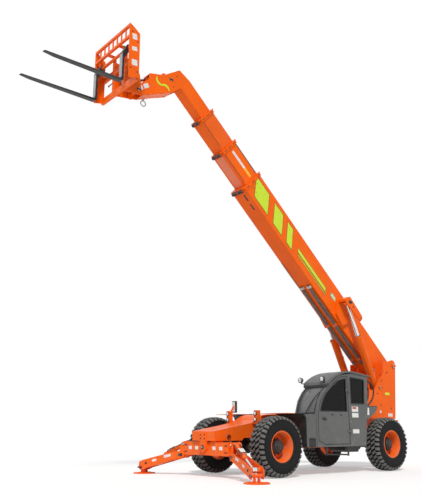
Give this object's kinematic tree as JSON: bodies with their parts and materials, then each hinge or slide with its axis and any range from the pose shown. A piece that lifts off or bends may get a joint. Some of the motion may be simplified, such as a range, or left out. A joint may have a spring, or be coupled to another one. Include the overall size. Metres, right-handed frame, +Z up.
{
  "type": "telehandler",
  "caption": "Telescopic handler with a multi-section boom, gooseneck head, pallet-fork carriage, offset cab, four steered wheels and front outriggers.",
  "frame": {"origin": "centre of the bounding box at ground level", "axes": "-Y is the front, +X is the operator's left (the cab side), +Z is up"},
  "size_m": [4.6252, 11.6736, 10.15],
  "materials": {
    "orange_paint": "satin orange paint",
    "orange_rim": "satin orange paint",
    "grey_paint": "satin mid grey paint",
    "black_paint": "satin black paint",
    "steel": "machined",
    "chrome": "polished",
    "cast": "painted casting",
    "pads": "nylon",
    "rubber": "matt",
    "tinted_glass": "tinted",
    "seat_cloth": "woven",
    "plastic": "moulded"
  },
  "bodies": {
    "chassis": {"axle_front": "cast", "axle_rear": "cast", "cab_cowl": "grey_paint", "cab_glass": "tinted_glass", "cab_roof": "grey_paint", "cab_shell": "grey_paint", "chassis_frame": "orange_paint", "counterweight": "orange_paint", "crossbeam": "orange_paint", "engine_block": "cast", "engine_hood": "grey_paint", "front_fenders": "black_paint", "lamp_posts": "orange_paint", "seat": "seat_cloth", "seat_base": "plastic", "steering_column": "plastic", "tower_pins": "steel"},
    "door": {"door": "grey_paint", "door_glass": "tinted_glass"},
    "knuckle_front_left": {"knuckle_front_left": "cast"},
    "wheel_front_left": {"tyre_front_left": "rubber", "rim_front_left": "orange_rim"},
    "knuckle_front_right": {"knuckle_front_right": "cast"},
    "wheel_front_right": {"tyre_front_right": "rubber", "rim_front_right": "orange_rim"},
    "knuckle_rear_left": {"knuckle_rear_left": "cast"},
    "wheel_rear_left": {"tyre_rear_left": "rubber", "rim_rear_left": "orange_rim"},
    "knuckle_rear_right": {"knuckle_rear_right": "cast"},
    "wheel_rear_right": {"tyre_rear_right": "rubber", "rim_rear_right": "orange_rim"},
    "boom_main": {"boom_main": "orange_paint", "boom_main_pads": "pads"},
    "boom_second": {"boom_second": "orange_paint", "boom_second_pads": "pads"},
    "boom_third": {"boom_third": "orange_paint", "boom_third_pads": "pads"},
    "boom_tip": {"boom_tip": "orange_paint", "boom_tip_pads": "pads", "tilt_barrel": "orange_paint"},
    "tilt_rod": {"tilt_rod": "chrome"},
    "carriage": {"carriage_frame": "orange_paint"},
    "fork_left": {"fork_left": "black_paint"},
    "fork_right": {"fork_right": "black_paint"},
    "lift_barrels": {"lift_barrels": "orange_paint"},
    "lift_rods": {"lift_rods": "chrome"},
    "outrigger_arm_left": {"outrigger_arm_left": "orange_paint"},
    "outrigger_pad_left": {"outrigger_pad_left": "orange_paint"},
    "outrigger_barrel_left": {"outrigger_barrel_left": "orange_paint"},
    "outrigger_rod_left": {"outrigger_rod_left": "chrome"},
    "outrigger_arm_right": {"outrigger_arm_right": "orange_paint"},
    "outrigger_pad_right": {"outrigger_pad_right": "orange_paint"},
    "outrigger_barrel_right": {"outrigger_barrel_right": "orange_paint"},
    "outrigger_rod_right": {"outrigger_rod_right": "chrome"}
  },
  "joints": [
    {"name": "boom_lift", "type": "hinge", "parent": "chassis", "child": "boom_main", "pos_m": [0, 5.55018, 2.823], "axis": [-1, 0, 0], "range_deg": [-45.75, 27.25]},
    {"name": "boom_extend", "type": "slide", "parent": "boom_main", "child": "boom_second", "axis": [0, -0.7343, 0.6788], "range_m": [-0.85, 3.05]},
    {"name": "boom_third_slide", "type": "slide", "parent": "boom_second", "child": "boom_third", "axis": [0, -0.7343, 0.6788], "range_m": [-0.86, 3.06]},
    {"name": "boom_tip_slide", "type": "slide", "parent": "boom_third", "child": "boom_tip", "axis": [0, -0.7343, 0.6788], "range_m": [-0.86, 3.06]},
    {"name": "fork_tilt", "type": "hinge", "parent": "boom_tip", "child": "carriage", "pos_m": [0, -3.19682, 8.93], "axis": [1, 0, 0], "range_deg": [-58, 45]},
    {"name": "tilt_rod_slide", "type": "slide", "parent": "boom_tip", "child": "tilt_rod", "axis": [0, -0.9647, -0.2635], "range_m": [-0.32, 0.25]},
    {"name": "fork_spread", "type": "slide", "parent": "carriage", "child": "fork_left", "axis": [1, 0, 0], "range_m": [-0.4, 0.1]},
    {"name": "fork_spread_right", "type": "slide", "parent": "carriage", "child": "fork_right", "axis": [-1, 0, 0], "range_m": [-0.41, 0.11]},
    {"name": "lift_barrel_swing", "type": "hinge", "parent": "chassis", "child": "lift_barrels", "pos_m": [0, 4.86318, 2.185], "axis": [-1, 0, 0], "range_deg": [-45, 27]},
    {"name": "lift_rod_slide", "type": "slide", "parent": "lift_barrels", "child": "lift_rods", "axis": [0, -0.4253, 0.905], "range_m": [-0.69, 0.42]},
    {"name": "door_hinge", "type": "hinge", "parent": "chassis", "child": "door", "pos_m": [1.238, 2.71818, 0], "axis": [0, 0, 1], "range_deg": [0, 120]},
    {"name": "steer_front_left", "type": "hinge", "parent": "chassis", "child": "knuckle_front_left", "pos_m": [0.85, 0.20318, 0.675], "axis": [0, 0, 1], "range_deg": [-35, 35]},
    {"name": "wheel_front_left", "type": "hinge", "parent": "knuckle_front_left", "child": "wheel_front_left", "pos_m": [1.119, 0.20318, 0.675], "axis": [1, 0, 0], "continuous": true},
    {"name": "steer_front_right", "type": "hinge", "parent": "chassis", "child": "knuckle_front_right", "pos_m": [-0.85, 0.20318, 0.675], "axis": [0, 0, 1], "range_deg": [-36, 36]},
    {"name": "wheel_front_right", "type": "hinge", "parent": "knuckle_front_right", "child": "wheel_front_right", "pos_m": [-1.119, 0.20318, 0.675], "axis": [1, 0, 0], "continuous": true},
    {"name": "steer_rear_left", "type": "hinge", "parent": "chassis", "child": "knuckle_rear_left", "pos_m": [0.85, 4.27318, 0.675], "axis": [0, 0, 1], "range_deg": [-35, 35]},
    {"name": "wheel_rear_left", "type": "hinge", "parent": "knuckle_rear_left", "child": "wheel_rear_left", "pos_m": [1.119, 4.27318, 0.675], "axis": [1, 0, 0], "continuous": true},
    {"name": "steer_rear_right", "type": "hinge", "parent": "chassis", "child": "knuckle_rear_right", "pos_m": [-0.85, 4.27318, 0.675], "axis": [0, 0, 1], "range_deg": [-36, 36]},
    {"name": "wheel_rear_right", "type": "hinge", "parent": "knuckle_rear_right", "child": "wheel_rear_right", "pos_m": [-1.119, 4.27318, 0.675], "axis": [1, 0, 0], "continuous": true},
    {"name": "outrigger_left", "type": "hinge", "parent": "chassis", "child": "outrigger_arm_left", "pos_m": [0.955, -0.85682, 0.47], "axis": [-0.3584, -0.9336, 0], "range_deg": [0, 75]},
    {"name": "outrigger_pad_left", "type": "hinge", "parent": "outrigger_arm_left", "child": "outrigger_pad_left", "pos_m": [2.04262, -1.27432, 0.15], "axis": [-0.3584, -0.9336, 0], "range_deg": [-10, 10]},
    {"name": "outrigger_barrel_left", "type": "hinge", "parent": "chassis", "child": "outrigger_barrel_left", "pos_m": [0.91299, -0.84069, 0.715], "axis": [-0.3584, -0.9336, 0], "range_deg": [-1, 77]},
    {"name": "outrigger_rod_left", "type": "slide", "parent": "outrigger_barrel_left", "child": "outrigger_rod_left", "axis": [0.8569, -0.3289, -0.397], "range_m": [-0.32, 0.01]},
    {"name": "outrigger_right", "type": "hinge", "parent": "chassis", "child": "outrigger_arm_right", "pos_m": [-0.955, -0.85682, 0.47], "axis": [-0.3584, 0.9336, 0], "range_deg": [0, 75]},
    {"name": "outrigger_pad_right", "type": "hinge", "parent": "outrigger_arm_right", "child": "outrigger_pad_right", "pos_m": [-2.04262, -1.27432, 0.15], "axis": [-0.3584, 0.9336, 0], "range_deg": [-10, 10]},
    {"name": "outrigger_barrel_right", "type": "hinge", "parent": "chassis", "child": "outrigger_barrel_right", "pos_m": [-0.91299, -0.84069, 0.715], "axis": [-0.3584, 0.9336, 0], "range_deg": [-1, 77]},
    {"name": "outrigger_rod_right", "type": "slide", "parent": "outrigger_barrel_right", "child": "outrigger_rod_right", "axis": [-0.8569, -0.3289, -0.397], "range_m": [-0.32, 0.01]}
  ],
  "couplings": [
    {"joint": "boom_third_slide", "follows": "boom_extend", "ratio": 1},
    {"joint": "boom_tip_slide", "follows": "boom_extend", "ratio": 1},
    {"joint": "tilt_rod_slide", "follows": "fork_tilt", "m_per_rad": 0.3},
    {"joint": "fork_spread_right", "follows": "fork_spread", "ratio": 1},
    {"joint": "lift_barrel_swing", "follows": "boom_lift", "ratio": 0.96},
    {"joint": "lift_rod_slide", "follows": "boom_lift", "m_per_rad": 0.84},
    {"joint": "steer_front_right", "follows": "steer_front_left", "ratio": 1},
    {"joint": "steer_rear_right", "follows": "steer_rear_left", "ratio": 1},
    {"joint": "outrigger_barrel_left", "follows": "outrigger_left", "ratio": 1.01},
    {"joint": "outrigger_rod_left", "follows": "outrigger_left", "m_per_rad": -0.2376},
    {"joint": "outrigger_barrel_right", "follows": "outrigger_right", "ratio": 1.01},
    {"joint": "outrigger_rod_right", "follows": "outrigger_right", "m_per_rad": -0.2376}
  ]
}
